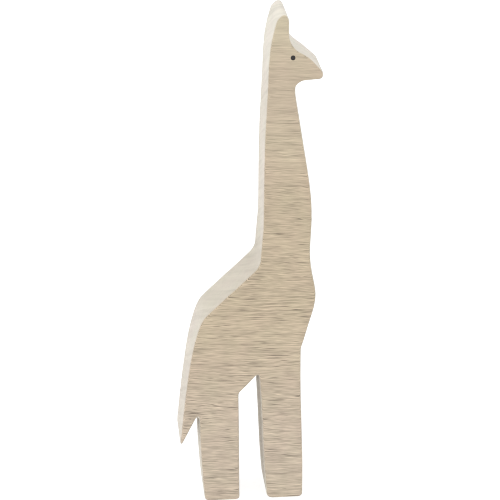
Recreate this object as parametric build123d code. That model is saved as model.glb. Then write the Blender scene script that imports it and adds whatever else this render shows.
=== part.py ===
from build123d import *
import os

# A standing giraffe, sawn from one flat beech board and eased along its edges by hand.
# Frame: X runs along the animal with the head towards +X, Y across the board, Z up.
# The origin is on the ground, in the middle of the figure's length and of the board's thickness.
# Sizes are in millimetres. A point of the outline is (X, Z).

# Driving dimensions
height = 184.0  # ground to the tip of the ear
length = 50.6  # tip of the tail to the tip of the nose
thickness = 20.0  # of the board
edge_ease = 0.4  # radius sanded along the outline on both faces
eye_diameter = 1.75
eye_depth = 4.0  # of each blind bore, and the length of the pin in it

tail_end = -length / 2  # the figure's two ends along X
nose_end = length / 2

# Heights that set the animal's build
tail_tip = 23.7
tail_notch = 36.5
belly = 43.3
crotch = 51.1
brisket = 60.3
rump = 72.0
chest = 81.5
shoulder = 90.3
neck_middle = 125.0
throat = 157.8
chin = 160.5
brow = 165.05
eye = 168.8
ear_root = 179.0

# Corners where two stretches of the outline meet
rear_heel = (tail_end + 8.9, 0)
rear_toe = (nose_end - 28.85, 0)
front_heel = (nose_end - 18.8, 0)
front_toe = (nose_end - 5.6, 0)
notch_point = (tail_end + 7.15, tail_notch)
belly_point = (rear_toe[0] - 0.3, belly)
crotch_point = (front_heel[0] - 3.1, crotch)
brisket_point = (front_toe[0] - 1.1, brisket)
tail_outer = (tail_end, tail_tip + 0.55)
tail_inner = (tail_end + 0.95, tail_tip + 0.3)

# Points where two stretches run smoothly into each other
throat_point = (nose_end - 9.5, throat)
jaw_point = (nose_end - 6.5, chin - 0.15)
lip_point = (nose_end - 2.0, chin + 0.1)
brow_point = (nose_end - 1.9, brow)
ear_front = (nose_end - 11.75, ear_root)
ear_back = (nose_end - 16.5, ear_root + 1.8)
shoulder_point = (nose_end - 24.15, shoulder)
rump_top = (tail_end + 10.35, rump + 3.0)

# Directions of the outline at those points
up = (0, 1)
chin_line = (1, 0.04)
forehead_slope = (-1, 0.85)
nape_slope = (-0.3, -1)
back_slope = (-1, -0.95)

# Radii of the corners, by the corner they round
corner_radii = {
    rear_heel: 1.3,
    rear_toe: 1.0,
    front_heel: 2.0,
    front_toe: 1.4,
    notch_point: 0.4,
    belly_point: 1.2,
    crotch_point: 0.4,
    brisket_point: 1.5,
}


def rear_leg():
    """Down the back of the rear leg from the notch under the tail, along the sole and up the front."""
    return [
        Spline(notch_point, (notch_point[0] + 0.3, 19), (rear_heel[0] - 0.65, 7), rear_heel),
        Line(rear_heel, rear_toe),
        Line(rear_toe, belly_point),
    ]


def front_leg():
    """Along the straight belly cut, down the back of the front leg, along its sole and up its front."""
    return [
        Line(belly_point, crotch_point),
        Spline(crotch_point, (front_heel[0] - 1.75, 28), (front_heel[0] - 1.0, 12), front_heel),
        Line(front_heel, front_toe),
        Spline(front_toe, (front_toe[0] - 0.5, 30), (front_toe[0] - 1.05, 48), brisket_point),
    ]


def chest_and_neck():
    """Out over the chest, up the front of the neck and in to the throat."""
    return Spline(
        brisket_point,
        (nose_end - 4.1, 69.3),
        (nose_end - 1.6, chest),
        (nose_end - 2.65, 88.0),
        (nose_end - 3.75, 96.0),
        (nose_end - 3.3, 109.0),
        (nose_end - 4.5, neck_middle),
        (nose_end - 6.75, 139.0),
        (nose_end - 9.1, 153.5),
        throat_point,
        tangents=[(0.35, 1), up],
    )


def muzzle():
    """Round the throat, along the chin and over the blunt nose to the brow."""
    return [
        Spline(throat_point, (nose_end - 8.4, 159.6), jaw_point, tangents=[up, chin_line]),
        Line(jaw_point, lip_point),
        Spline(lip_point, (nose_end, chin + 2.0), brow_point, tangents=[chin_line, forehead_slope]),
    ]


def forehead_and_ear():
    """Up the forehead, which dips before the ear, and round the blunt ear to the nape."""
    return [
        Spline(
            brow_point,
            (nose_end - 5.3, 168.1),
            (nose_end - 8.4, 170.5),
            (nose_end - 10.5, 173.1),
            ear_front,
            tangents=[forehead_slope, up],
        ),
        Spline(
            ear_front,
            (nose_end - 12.1, 182.7),
            (nose_end - 13.45, height),
            (nose_end - 15.0, 183.25),
            ear_back,
            tangents=[up, nape_slope],
        ),
    ]


def nape_and_slope():
    """Down the nape and the nearly straight back of the neck, then down the slope of the back."""
    return [
        Spline(
            ear_back,
            (nose_end - 18.2, 173.5),
            (nose_end - 19.1, 160.0),
            (nose_end - 20.15, 138.0),
            (nose_end - 20.4, 115.0),
            (nose_end - 20.75, 105.0),
            (nose_end - 21.4, 97.0),
            shoulder_point,
            tangents=[nape_slope, back_slope],
        ),
        Line(shoulder_point, rump_top),
    ]


def rump_and_tail():
    """Round the rump, down the outside of the tail, round its tip and up to the notch."""
    return [
        Spline(
            rump_top,
            (tail_end + 6.4, 67.3),
            (tail_end + 3.4, 53.0),
            (tail_end + 1.2, 36.0),
            tail_outer,
            tangents=[back_slope, (-0.1, -1)],
        ),
        ThreePointArc(tail_outer, (tail_end + 0.35, tail_tip), tail_inner),
        Line(tail_inner, notch_point),
    ]


def outline():
    """The closed outline, as one face in the plane of the board."""
    stretches = rear_leg() + front_leg() + [chest_and_neck()]
    stretches += muzzle() + forehead_and_ear() + nape_and_slope() + rump_and_tail()
    return Plane.XZ * make_face(stretches)


def eye_pin(side):
    """A dark peg, flush with the face on the given side, which is -1 or 1 along Y."""
    place = Plane(origin=(nose_end - 10.5, side * thickness / 2, eye), z_dir=(0, -side, 0))
    return extrude(place * Circle(eye_diameter / 2), eye_depth)


def round_corners(board):
    """Round the corners of the outline, which are edges across the board."""
    for (x, z), radius in corner_radii.items():
        across = board.edges().filter_by(Axis.Y)
        corner = across.sort_by_distance((x, 0, z))[0]
        board = fillet(corner, radius)
    return board


def giraffe_body(pins):
    """The sawn board with its corners rounded, both faces' edges eased and the eyes bored."""
    board = round_corners(extrude(outline(), thickness / 2, both=True))
    faces = board.faces().sort_by(Axis.Y)
    board = fillet([faces[0].outer_wire().edges(), faces[-1].outer_wire().edges()], edge_ease)
    return board - pins


pins = {"eye_right": eye_pin(-1), "eye_left": eye_pin(1)}
nodes = {"giraffe_body": giraffe_body(list(pins.values())), **pins}

os.makedirs("parts", exist_ok=True)
for name, solid in nodes.items():
    export_step(solid, f"parts/{name}.step")
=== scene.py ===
import math

import bmesh
import bpy
import numpy as np
from mathutils import Matrix, Vector, noise


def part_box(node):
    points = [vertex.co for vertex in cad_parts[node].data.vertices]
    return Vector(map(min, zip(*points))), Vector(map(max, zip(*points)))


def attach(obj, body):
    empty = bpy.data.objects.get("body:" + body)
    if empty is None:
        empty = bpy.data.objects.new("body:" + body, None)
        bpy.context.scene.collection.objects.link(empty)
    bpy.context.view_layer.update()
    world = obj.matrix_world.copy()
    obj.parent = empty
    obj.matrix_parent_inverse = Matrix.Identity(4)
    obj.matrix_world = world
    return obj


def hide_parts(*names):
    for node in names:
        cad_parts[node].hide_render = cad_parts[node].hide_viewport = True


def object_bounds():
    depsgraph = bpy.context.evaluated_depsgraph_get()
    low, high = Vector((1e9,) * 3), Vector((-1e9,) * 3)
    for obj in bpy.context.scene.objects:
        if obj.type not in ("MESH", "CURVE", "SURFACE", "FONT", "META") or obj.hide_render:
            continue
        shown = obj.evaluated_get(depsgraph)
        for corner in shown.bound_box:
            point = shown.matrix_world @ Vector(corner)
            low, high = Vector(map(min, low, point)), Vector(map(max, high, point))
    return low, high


# A wooden giraffe, sawn from one beech board, standing on a white studio floor.
# Places are in metres, in the frame of the CAD model: head towards +X, Z up.
# The materials work in millimetres. Colours are linear red, green and blue.

MM = 0.001

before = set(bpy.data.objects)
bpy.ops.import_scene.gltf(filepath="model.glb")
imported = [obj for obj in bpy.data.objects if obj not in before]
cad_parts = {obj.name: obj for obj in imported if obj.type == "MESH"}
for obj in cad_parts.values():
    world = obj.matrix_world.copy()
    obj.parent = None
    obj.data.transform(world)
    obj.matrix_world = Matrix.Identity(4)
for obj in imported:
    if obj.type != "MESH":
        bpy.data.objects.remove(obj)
cad_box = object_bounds()
LOW, HIGH = cad_box
HEIGHT = HIGH.z - LOW.z
HALF_THICKNESS = (HIGH.y - LOW.y) / 2
EYE_NODES = ("eye_right", "eye_left")

# Camera: a long lens, a little to the animal's rear and well above it
AZIMUTH = math.radians(-5.3)
ELEVATION = math.radians(22.2)
DISTANCE = 3.806 * HEIGHT
TARGET = Vector((0.001 * HEIGHT, LOW.y, 0.5397 * HEIGHT))
SENSOR_WIDTH = 36  # mm
FOCAL_LENGTH = 144  # mm

# Light
SURROUND_LEFT = 1.40  # strength of the white surround towards -X
SURROUND_RIGHT = 0.80  # and towards +X
LAMP_DIRECTION = Vector((0.30, -0.25, 1.0))
LAMP_DISTANCE = 1.2
LAMP_SIZE = 0.9
LAMP_POWER = 2.6

# Body mesh
VOXEL = 0.5 * MM
EDGE_SMOOTHING = 2  # passes over the whole surface
HAND_WAVE = 0.035 * MM  # how far sanding by hand left the faces from flat
INSET = 0.02 * MM  # room kept inside the CAD box for that unevenness
FLAT_SOLES = 3 * MM  # height below which the unevenness fades out
BORE_PLAY = 0.02 * MM

# Over the forehead the saw ran out of square: the near side is higher than the far side.
FOREHEAD = Vector((HIGH.x - 5 * MM, 0, LOW.z + 0.908 * HEIGHT))
FOREHEAD_REACH = 9 * MM
FOREHEAD_LIFT = 0.45 * MM  # at mid-thickness
FOREHEAD_SLANT = 0.05  # rise per length across the board

# The wood's own axes. The fibre runs along the animal and dips a little towards the head.
# The growth rings are sheets along the fibre, tilted so that they rise towards the near side.
FIBRE_DIP = math.radians(3)
RING_TILT = math.radians(27)
FIBRE = Vector((math.cos(FIBRE_DIP), 0, -math.sin(FIBRE_DIP)))
ACROSS_BOARD = Vector((0, 1, 0))
RISE = FIBRE.cross(ACROSS_BOARD)
ACROSS_RINGS = math.sin(RING_TILT) * ACROSS_BOARD + math.cos(RING_TILT) * RISE
ALONG_RINGS = math.cos(RING_TILT) * ACROSS_BOARD - math.sin(RING_TILT) * RISE

# Colours of the wood: the one at the feet, then each further one up the figure, with the shares of
# the height at which it starts to come in and at which it is full.
# The face colour at the feet is paler and bluer than the one above it. That is painted light: it stands
# in for light thrown up onto the legs by the white floor.
FACE_FOOT_FLOOR_LIT = (0.466, 0.387, 0.299)
FACE_RISE = (
    (0.109, 0.435, (0.454, 0.372, 0.266)),
    (0.598, 0.842, (0.484, 0.401, 0.296)),
    (0.897, 0.978, (0.508, 0.442, 0.318)),
)
EDGE_FOOT = (0.580, 0.532, 0.460)
EDGE_RISE = (
    (0.370, 0.424, (0.530, 0.485, 0.408)),
    (0.489, 0.598, (0.595, 0.545, 0.470)),
    # The extra paleness of this last edge colour is painted light: it stands in for the top light on the
    # forehead and the ear.
    (0.815, 0.935, (0.640, 0.600, 0.525)),
)
PINK_TINT = (1.02, 0.975, 1.01, 1)
GREEN_TINT = (0.98, 1.025, 0.985, 1)

# The black spot of an eye, in millimetres: slightly taller than wide, with a worn rim round it
SPOT_HALF_WIDTH = 0.76
SPOT_HALF_HEIGHT = 0.86
BLACK = (0.006, 0.005, 0.005, 1)
SOOT = (0.020, 0.016, 0.014, 1)
WORN_RIM = (0.36, 0.29, 0.21, 1)


# ---------------------------------------------------------------- shader helpers


class Shader:
    """Builds the nodes of a material or a world, with one call for each step of a sum or texture."""

    def __init__(self, owner, surface="Principled BSDF"):
        owner.use_nodes = True
        self.tree = owner.node_tree
        self.surface = self.tree.nodes[surface]

    def feed(self, socket, value):
        """Link the socket to another node's output, or set it to a plain value."""
        if isinstance(value, bpy.types.NodeSocket):
            self.tree.links.new(value, socket)
        else:
            socket.default_value = value

    def node(self, kind, inputs=None, **settings):
        """A new node with its settings made and its inputs fed, by their names or numbers."""
        made = self.tree.nodes.new(kind)
        for key, value in settings.items():
            setattr(made, key, value)
        for key, value in (inputs or {}).items():
            self.feed(made.inputs[key], value)
        return made

    def set_surface(self, inputs):
        for key, value in inputs.items():
            self.feed(self.surface.inputs[key], value)

    def absolute(self, value):
        return self.node("ShaderNodeMath", {0: value}, operation="ABSOLUTE").outputs[0]

    def multiply(self, a, b):
        return self.node("ShaderNodeMath", {0: a, 1: b}, operation="MULTIPLY").outputs[0]

    def add_up(self, *terms, start=0.0):
        """Start plus the sum of weight times value, over the (weight, value) pairs given."""
        total = start
        for weight, value in terms:
            inputs = {0: value, 1: weight, 2: total}
            total = self.node("ShaderNodeMath", inputs, operation="MULTIPLY_ADD").outputs[0]
        return total

    def vector_math(self, operation, inputs, output="Vector"):
        return self.node("ShaderNodeVectorMath", inputs, operation=operation).outputs[output]

    def along(self, vector, direction):
        return self.vector_math("DOT_PRODUCT", {0: vector, 1: direction}, output="Value")

    def length(self, vector):
        return self.vector_math("LENGTH", {0: vector}, output="Value")

    def minus(self, vector, other):
        return self.vector_math("SUBTRACT", {0: vector, 1: other})

    def times(self, vector, factors):
        return self.vector_math("MULTIPLY", {0: vector, 1: factors})

    def dim(self, colour, factor):
        return self.vector_math("SCALE", {0: colour, "Scale": factor})

    def place_in_mm(self):
        place = self.node("ShaderNodeTexCoord").outputs["Object"]
        return self.times(place, [1 / MM] * 3)

    def noise(self, place, sizes, detail=2.0, roughness=0.5):
        """A random cloud round 0.5, with lumps of the sizes given along the three axes."""
        inputs = {
            "Vector": self.times(place, [1 / size for size in sizes]),
            "Scale": 1.0,
            "Detail": detail,
            "Roughness": roughness,
        }
        return self.node("ShaderNodeTexNoise", inputs).outputs["Fac"]

    def cells(self, place, sizes):
        """Cells of the sizes given: how far the place is from its cell's middle, and a random colour."""
        inputs = {"Vector": self.times(place, [1 / size for size in sizes]), "Scale": 1.0}
        made = self.node("ShaderNodeTexVoronoi", inputs, feature="F1")
        return made.outputs["Distance"], made.outputs["Color"]

    def ramp(self, value, start, end, low=0.0, high=1.0):
        """Low before start, high after end, and a smooth step between. Start may lie above end."""
        inputs = {"Value": value, "From Min": start, "From Max": end, "To Min": low, "To Max": high}
        made = self.node("ShaderNodeMapRange", inputs, interpolation_type="SMOOTHSTEP")
        return made.outputs["Result"]

    def mix(self, factor, a, b):
        """Colour a where the factor is 0, and b where it is 1."""
        made = self.node("ShaderNodeMix", {"Factor": factor}, data_type="RGBA")
        colour_a, colour_b = (socket for socket in made.inputs if socket.type == "RGBA")
        self.feed(colour_a, a)
        self.feed(colour_b, b)
        return next(socket for socket in made.outputs if socket.type == "RGBA")

    def blend(self, value, first, steps):
        """The first colour, giving way to each further one between the start and end of its step."""
        blended = (*first, 1)
        for start, end, colour in steps:
            blended = self.mix(self.ramp(value, start, end), blended, (*colour, 1))
        return blended

    def bump(self, height, distance, strength):
        inputs = {"Height": height, "Distance": distance, "Strength": strength}
        return self.node("ShaderNodeBump", inputs).outputs["Normal"]


# ---------------------------------------------------------------- camera, light and floor


def make_camera():
    data = bpy.data.cameras.new("camera")
    data.sensor_width = SENSOR_WIDTH
    data.lens = FOCAL_LENGTH
    data.clip_start = 0.01
    data.clip_end = 100
    camera = bpy.data.objects.new("camera", data)
    sideways = math.sin(AZIMUTH) * math.cos(ELEVATION)
    forwards = -math.cos(AZIMUTH) * math.cos(ELEVATION)
    away = Vector((sideways, forwards, math.sin(ELEVATION)))
    camera.location = TARGET + DISTANCE * away
    camera.rotation_euler = away.to_track_quat("Z", "Y").to_euler()
    scene = bpy.context.scene
    scene.collection.objects.link(camera)
    scene.camera = camera
    scene.cycles.filter_width = 1.1  # narrow, so that the picture stays crisp
    scene.view_settings.view_transform = "Standard"


def make_surround():
    """A white surround, brighter on the left than on the right."""
    world = bpy.data.worlds.new("surround")
    shader = Shader(world, surface="Background")
    direction = shader.node("ShaderNodeTexCoord").outputs["Generated"]
    sideways = shader.node("ShaderNodeSeparateXYZ", {0: direction}).outputs["X"]
    inputs = {
        "Value": sideways,
        "From Min": -1,
        "From Max": 1,
        "To Min": SURROUND_LEFT,
        "To Max": SURROUND_RIGHT,
    }
    strength = shader.node("ShaderNodeMapRange", inputs).outputs["Result"]
    shader.set_surface({"Color": (1, 1, 1, 1), "Strength": strength})
    bpy.context.scene.world = world


def make_lamp():
    """A large soft lamp overhead, a little to the right and in front."""
    data = bpy.data.lights.new("top", "AREA")
    data.shape = "DISK"
    data.size = LAMP_SIZE
    data.energy = LAMP_POWER
    lamp = bpy.data.objects.new("top", data)
    towards = LAMP_DIRECTION.normalized()
    lamp.location = Vector((0, 0, HEIGHT / 2)) + LAMP_DISTANCE * towards
    lamp.rotation_euler = towards.to_track_quat("Z", "Y").to_euler()
    bpy.context.scene.collection.objects.link(lamp)


def make_floor():
    """A wide floor that glows a little, so that it is as white as the surround."""
    bpy.ops.mesh.primitive_plane_add(size=60, location=(0, 0, 0))
    floor = bpy.context.object
    floor.name = "floor"
    material = bpy.data.materials.new("floor")
    Shader(material).set_surface(
        {
            "Base Color": (0.3, 0.3, 0.3, 1),
            "Roughness": 0.9,
            "Emission Color": (1, 1, 1, 1),
            "Emission Strength": 0.8,
        }
    )
    floor.data.materials.append(material)


# ---------------------------------------------------------------- materials


def wood_place(shader, place):
    """The place along the fibre, along the rings and across them, in wood that is slightly wavy."""
    bend = shader.noise(place, (34, 34, 26), detail=1.0)
    ripple = shader.noise(place, (15, 15, 3), detail=1.0)
    along_rings = shader.along(place, ALONG_RINGS)
    across_rings = shader.along(place, ACROSS_RINGS)
    inputs = {
        "X": shader.along(place, FIBRE),
        "Y": shader.add_up((1.0, along_rings), (1.2, bend), (0.5, ripple)),
        "Z": shader.add_up((1.0, across_rings), (3.0, bend), (0.8, ripple)),
    }
    return shader.node("ShaderNodeCombineXYZ", inputs).outputs[0]


def flecks(shader, wood, sizes, share, reach):
    """Short lens-shaped marks, 1 at their cores and 0 outside, in a given share of the cells.

    Half of the marks are full ones and the others are fainter. Each fades out at its reach.
    """
    distance, colour = shader.cells(wood, sizes)
    draw = shader.node("ShaderNodeSeparateColor", {"Color": colour}).outputs["Red"]
    chosen = shader.ramp(draw, 1 - share, 1 - 0.5 * share)
    inside = shader.ramp(distance, reach, 0.4 * reach)
    return shader.multiply(chosen, inside)


def veins(shader, wood):
    """Long thin wavy lines, each dark along one side, with a pale line of painted sheen along the other,
    which come and go.

    They run where a noise that is stretched along the fibre passes its middle.
    """
    middle = 0.5
    offset = 0.03
    reach = 0.04
    core = 0.01
    level = shader.noise(wood, (24, 0.28, 3), detail=1.2)
    shown = shader.ramp(shader.noise(wood, (18, 1.4, 5), detail=1.0), 0.30, 0.65)
    lines = []
    # The first line of each pair is dark; the second, pale one is painted sheen.
    for side in (middle + offset, middle - offset):
        from_line = shader.absolute(shader.add_up((1.0, level), start=-side))
        lines.append(shader.multiply(shader.ramp(from_line, reach, core), shown))
    return lines


def cut_edge(shader, place):
    """1 on the sawn edges and 0 on the two faces, with a soft step where the two meet."""
    half_thickness = HALF_THICKNESS / MM
    face_ends = half_thickness - 0.15
    edge_begins = half_thickness - 0.45
    off_middle = shader.absolute(shader.along(place, ACROSS_BOARD))
    return shader.ramp(off_middle, face_ends, edge_begins)


def make_beech():
    """Raw sanded beech, solid in three dimensions, so that the grain runs on round every edge."""
    material = bpy.data.materials.new("beech")
    shader = Shader(material)
    place = shader.place_in_mm()
    height = shader.along(place, (0, 0, MM / HEIGHT))
    wood = wood_place(shader, place)
    edge = cut_edge(shader, place)

    # Fine marks, fainter towards the head and on the sawn edges
    fibre = shader.noise(wood, (5, 0.15, 1.2), detail=1.5, roughness=0.6)
    fleck = flecks(shader, wood, sizes=(10, 0.15, 7), share=0.50, reach=0.46)
    dark_vein, painted_sheen_line = veins(shader, wood)
    # The pale line beside each dark vein is painted sheen, a glint along the wood's rays.
    lines = shader.add_up((-0.44, dark_vein), (0.22, painted_sheen_line), (-0.28, fleck))
    marks = shader.add_up((1.2, fibre), (1.0, lines), start=-0.53)
    up_the_neck = shader.ramp(height, 0.913, 0.489, low=0.42, high=1.0)
    on_the_edge = shader.ramp(edge, 0.0, 1.0, low=1.0, high=0.25)
    clearness = shader.multiply(up_the_neck, on_the_edge)

    # Slow changes across the growth rings
    broad = shader.noise(wood, (60, 18, 14))
    rings = shader.noise(wood, (90, 60, 1.6), roughness=0.6)
    ring_line = shader.ramp(shader.noise(wood, (70, 30, 2.4), detail=1.0), 0.60, 0.72)
    slow = shader.add_up((0.16, broad), (-0.30, rings), (-0.07, ring_line), start=1.07)

    face_wood = shader.blend(height, FACE_FOOT_FLOOR_LIT, FACE_RISE)
    edge_wood = shader.blend(height, EDGE_FOOT, EDGE_RISE)
    tint = shader.mix(shader.noise(place, (9, 9, 12)), PINK_TINT, GREEN_TINT)
    colour = shader.times(shader.mix(edge, face_wood, edge_wood), tint)
    shader.set_surface(
        {
            "Base Color": shader.dim(colour, shader.add_up((clearness, marks), start=slow)),
            "Roughness": shader.add_up((0.20, fibre), (-0.08, fleck), start=0.52),
            "Specular IOR Level": 0.3,
            "Normal": shader.bump(marks, 0.05 * MM, 0.5),
        }
    )
    return material


def make_black_wood():
    """The end grain of a small peg, blackened but for a thin worn rim."""
    material = bpy.data.materials.new("blackened_wood")
    shader = Shader(material)
    place = shader.place_in_mm()
    mouth, *_ = eye_axis(EYE_NODES[0])
    from_middle = shader.minus(place, mouth / MM)
    spot = shader.times(from_middle, (1 / SPOT_HALF_WIDTH, 0, 1 / SPOT_HALF_HEIGHT))
    worn = shader.ramp(shader.length(spot), 0.96, 1.06)
    grain = shader.noise(place, (0.25, 1.5, 0.25), detail=3.0)
    shader.set_surface(
        {
            "Base Color": shader.mix(worn, shader.mix(grain, BLACK, SOOT), WORN_RIM),
            "Roughness": shader.ramp(grain, 0.2, 0.8, low=0.5, high=0.7),
            "Normal": shader.bump(grain, 0.05 * MM, 0.4),
        }
    )
    return material


# ---------------------------------------------------------------- pieces


def eye_axis(node):
    """Where an eye's peg meets its face, its direction out of the board, its radius and its depth."""
    low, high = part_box(node)
    side = 1 if low.y > 0 else -1
    mouth = Vector(((low.x + high.x) / 2, high.y if side > 0 else low.y, (low.z + high.z) / 2))
    return mouth, Vector((0, side, 0)), (high.x - low.x) / 2, high.y - low.y


def close_bores(mesh):
    """Take the eye bores out of the CAD board's mesh, so that it can be remeshed as one solid."""
    touching = 0.001 * MM
    off_face = 0.01 * MM
    slack = 1.02
    work = bmesh.new()
    work.from_mesh(mesh)
    bmesh.ops.remove_doubles(work, verts=work.verts, dist=touching)
    for node in EYE_NODES:
        mouth, _, radius, depth = eye_axis(node)
        inside = [
            vert
            for vert in work.verts
            if math.hypot(vert.co.x - mouth.x, vert.co.z - mouth.z) < slack * radius
            and off_face < abs(vert.co.y - mouth.y) < slack * depth
        ]
        bmesh.ops.delete(work, geom=inside, context="VERTS")
    rims = [edge for edge in work.edges if edge.is_boundary]
    bmesh.ops.holes_fill(work, edges=rims)
    work.to_mesh(mesh)
    work.free()


def apply_modifier(piece, kind, **settings):
    """Add one modifier to the piece and put its result in place of the piece's mesh."""
    modifier = piece.modifiers.new(kind.lower(), kind)
    for key, value in settings.items():
        setattr(modifier, key, value)
    graph = bpy.context.evaluated_depsgraph_get()
    made = bpy.data.meshes.new_from_object(piece.evaluated_get(graph))
    piece.modifiers.clear()
    piece.data = made


def read_mesh(mesh):
    """The mesh's points, and its edges as pairs of point numbers."""
    points = np.empty(3 * len(mesh.vertices))
    mesh.vertices.foreach_get("co", points)
    edges = np.empty(2 * len(mesh.edges), dtype=np.int64)
    mesh.edges.foreach_get("vertices", edges)
    return points.reshape(-1, 3), edges.reshape(-1, 2)


def write_points(mesh, points):
    mesh.vertices.foreach_set("co", points.ravel())
    mesh.update()


def smoothed(points, edges, passes):
    """Move each point half way towards the mean of its neighbours, a number of times."""
    count = np.bincount(edges.ravel(), minlength=len(points))[:, None]
    for _ in range(passes):
        total = np.zeros_like(points)
        np.add.at(total, edges[:, 0], points[edges[:, 1]])
        np.add.at(total, edges[:, 1], points[edges[:, 0]])
        points = (points + total / count) / 2
    return points


def slanted_forehead(points):
    """Lift the forehead, most on the near side and hardly at all on the far side."""
    away = np.hypot(points[:, 0] - FOREHEAD.x, points[:, 2] - FOREHEAD.z) / FOREHEAD_REACH
    weight = np.clip(1 - away**2, 0, 1) ** 2
    points[:, 2] += weight * (FOREHEAD_LIFT - FOREHEAD_SLANT * points[:, 1])
    return points


def wave(point):
    """The slow unevenness of a surface sanded by hand, between about -1 and 1."""
    broad = noise.noise(point / (14 * MM))
    narrow = noise.noise(point / (5 * MM) + Vector((7, 3, 5)))
    return broad + 0.4 * narrow


def hand_sand(mesh):
    """Soften the edges and leave the faces very slightly uneven, but keep the soles flat."""
    points, edges = read_mesh(mesh)
    points = slanted_forehead(smoothed(points, edges, EDGE_SMOOTHING))
    write_points(mesh, points)
    normals = np.array([vert.normal for vert in mesh.vertices])
    above_soles = np.clip(points[:, 2] / FLAT_SOLES, 0, 1)
    waves = np.array([wave(Vector(point)) for point in points])
    points = points + normals * (above_soles * (HAND_WAVE * waves - INSET))[:, None]
    points[:, 2] -= points[:, 2].min()
    write_points(mesh, np.clip(points, np.array(LOW), np.array(HIGH)))


def bore_cutter():
    """Two short rods where the eyes go, as one object that is cut from the body."""
    work = bmesh.new()
    for node in EYE_NODES:
        mouth, out, radius, depth = eye_axis(node)
        length = 1.25 * depth  # the rest stands proud of the face
        centre = mouth + (length / 2 - depth) * out
        bmesh.ops.create_cone(
            work,
            cap_ends=True,
            segments=48,
            radius1=radius + BORE_PLAY,
            radius2=radius + BORE_PLAY,
            depth=length,
            matrix=Matrix.Translation(centre) @ Matrix.Rotation(math.pi / 2, 4, "X"),
        )
    mesh = bpy.data.meshes.new("bore_cutter")
    work.to_mesh(mesh)
    work.free()
    cutter = bpy.data.objects.new("bore_cutter", mesh)
    bpy.context.scene.collection.objects.link(cutter)
    return cutter


def make_body():
    """The sawn and hand-sanded board, with a blind bore for each eye."""
    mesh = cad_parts["giraffe_body"].data.copy()
    close_bores(mesh)
    body = bpy.data.objects.new("sanded_body", mesh)
    bpy.context.scene.collection.objects.link(body)
    apply_modifier(body, "REMESH", mode="VOXEL", voxel_size=VOXEL, adaptivity=0.0)
    hand_sand(body.data)
    cutter = bore_cutter()
    apply_modifier(body, "BOOLEAN", operation="DIFFERENCE", solver="EXACT", object=cutter)
    bpy.data.objects.remove(cutter)
    body.data.shade_smooth()
    body.data.set_sharp_from_angle(angle=math.radians(50))
    body.data.materials.clear()
    body.data.materials.append(make_beech())
    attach(body, "root")
    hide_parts("giraffe_body")


def finish_eyes():
    """Give the CAD pegs their blackened wood."""
    black = make_black_wood()
    for node in EYE_NODES:
        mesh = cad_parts[node].data
        mesh.materials.clear()
        mesh.materials.append(black)


make_camera()
make_surround()
make_lamp()
make_floor()
make_body()
finish_eyes()
